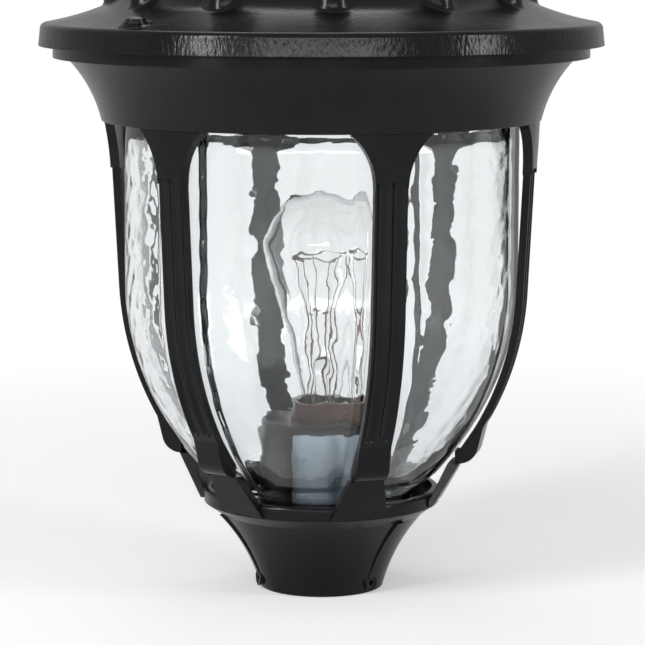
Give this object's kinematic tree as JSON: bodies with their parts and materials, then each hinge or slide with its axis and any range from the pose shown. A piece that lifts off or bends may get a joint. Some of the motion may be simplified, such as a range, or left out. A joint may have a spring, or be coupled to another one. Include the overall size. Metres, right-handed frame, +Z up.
{
  "type": "post top lantern",
  "caption": "Post top lantern with petalled lift-off roof, fluted cage ribs, lobed clear glass, screw-in lamp and flared post fitter.",
  "frame": {"origin": "centre of the post fitter bottom edge", "axes": "+Z up along the post, -Y the front, a cage rib at -Y"},
  "size_m": [0.381, 0.381, 0.5454],
  "materials": {
    "black_casting": "cast, black gloss powder coat",
    "screw_steel": "zinc plated",
    "zinc_steel": "zinc plated",
    "clip_steel": "plated spring steel",
    "black_screw": "black coated",
    "green_screw": "green coated",
    "water_glass": "clear wavy pressed glass",
    "gasket_rubber": "moulded",
    "grey_cup": "dark grey",
    "brown_phenolic": "brown phenolic",
    "brass": "plain",
    "lamp_cap": "threaded",
    "dark_glass": "black",
    "lamp_glass": "clear",
    "lamp_wire": "bright wire"
  },
  "bodies": {
    "cage": {"base_casting": "black_casting", "collar": "black_casting", "glass": "water_glass", "glass_clip_1": "clip_steel", "glass_clip_2": "clip_steel", "glass_clip_3": "clip_steel", "glass_clip_screws": "screw_steel", "glass_gasket": "gasket_rubber", "ground_screw": "green_screw", "lampholder": "brown_phenolic", "lampholder_contact": "brass", "lampholder_shell": "brass", "nipple": "zinc_steel", "nipple_nut_lower": "zinc_steel", "nipple_nut_upper": "zinc_steel", "nipple_washer": "zinc_steel", "rib_1": "black_casting", "rib_2": "black_casting", "rib_3": "black_casting", "rib_4": "black_casting", "rib_5": "black_casting", "rib_6": "black_casting", "rib_foot_screws": "screw_steel", "rib_head_screws": "screw_steel", "roof_gasket": "gasket_rubber", "socket_cup": "grey_cup"},
    "roof_assembly": {"roof": "black_casting", "finial": "black_casting", "finial_stud": "zinc_steel", "finial_nut": "zinc_steel", "finial_washer": "zinc_steel"},
    "roof_screw_left": {"roof_screw_1": "black_screw"},
    "roof_screw_right": {"roof_screw_2": "black_screw"},
    "set_screw_a": {"set_screw_1": "black_screw"},
    "set_screw_b": {"set_screw_2": "black_screw"},
    "set_screw_c": {"set_screw_3": "black_screw"},
    "lamp": {"lamp_base_insulator": "dark_glass", "lamp_base_shell": "lamp_cap", "lamp_contact": "brass", "lamp_envelope": "lamp_glass", "lamp_filament": "lamp_wire", "lamp_stem": "lamp_glass", "lamp_wires": "lamp_wire"}
  },
  "joints": [
    {"name": "roof_lift", "type": "slide", "parent": "cage", "child": "roof_assembly", "axis": [0, 0, 1], "range_m": [0, 0.2]},
    {"name": "roof_screw_left_out", "type": "slide", "parent": "roof_assembly", "child": "roof_screw_left", "axis": [0, 0, 1], "range_m": [0, 0.026]},
    {"name": "roof_screw_right_out", "type": "slide", "parent": "roof_assembly", "child": "roof_screw_right", "axis": [0, 0, 1], "range_m": [0, 0.026]},
    {"name": "lamp_out", "type": "slide", "parent": "cage", "child": "lamp", "axis": [0, 0, 1], "range_m": [0, 0.04]},
    {"name": "set_screw_a_turn_in", "type": "slide", "parent": "cage", "child": "set_screw_a", "axis": [0.5, -0.866, 0], "range_m": [-0.003, 0.006]},
    {"name": "set_screw_b_turn_in", "type": "slide", "parent": "cage", "child": "set_screw_b", "axis": [0.5, 0.866, 0], "range_m": [-0.003, 0.006]},
    {"name": "set_screw_c_turn_in", "type": "slide", "parent": "cage", "child": "set_screw_c", "axis": [-1, 0, 0], "range_m": [-0.003, 0.006]}
  ]
}
